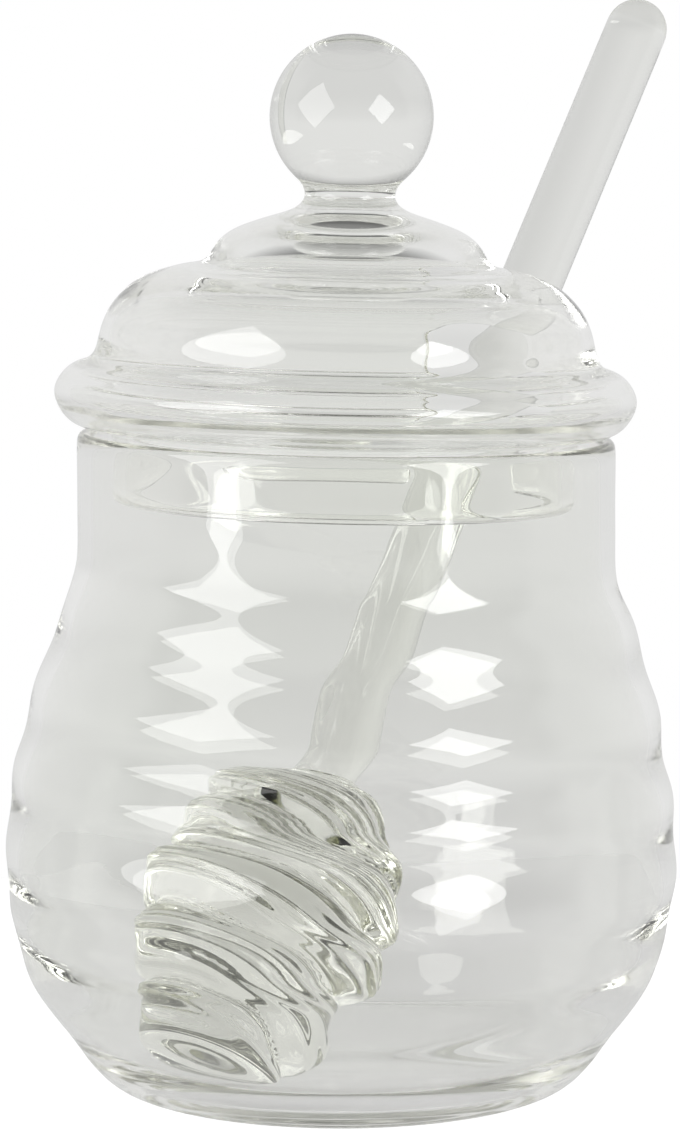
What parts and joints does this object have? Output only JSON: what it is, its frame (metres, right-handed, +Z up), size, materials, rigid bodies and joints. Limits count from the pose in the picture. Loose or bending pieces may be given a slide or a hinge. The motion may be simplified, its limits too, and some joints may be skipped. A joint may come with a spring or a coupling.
{
  "type": "glass honey jar with lid and dipper",
  "caption": "Clear blown-glass jar with ribbed beehive sides, a domed lid with ball knob, and a solid glass honey dipper leaning through the lid's notch.",
  "frame": {"origin": "middle of the jar's flat base, on the surface that it stands on", "axes": "+Z up through the jar and its knob, -Y towards the viewer of the front, +X to the viewer's right; the dipper's handle leans towards +X and +Y"},
  "size_m": [0.0919, 0.1031, 0.1454],
  "materials": {
    "clear_glass": "polished, clear, colourless",
    "solid_glass": "polished, clear, solid, with a faint green cast in its depth"
  },
  "bodies": {
    "root": {"jar": "clear_glass", "lid": "clear_glass", "dipper": "solid_glass"}
  },
  "joints": []
}
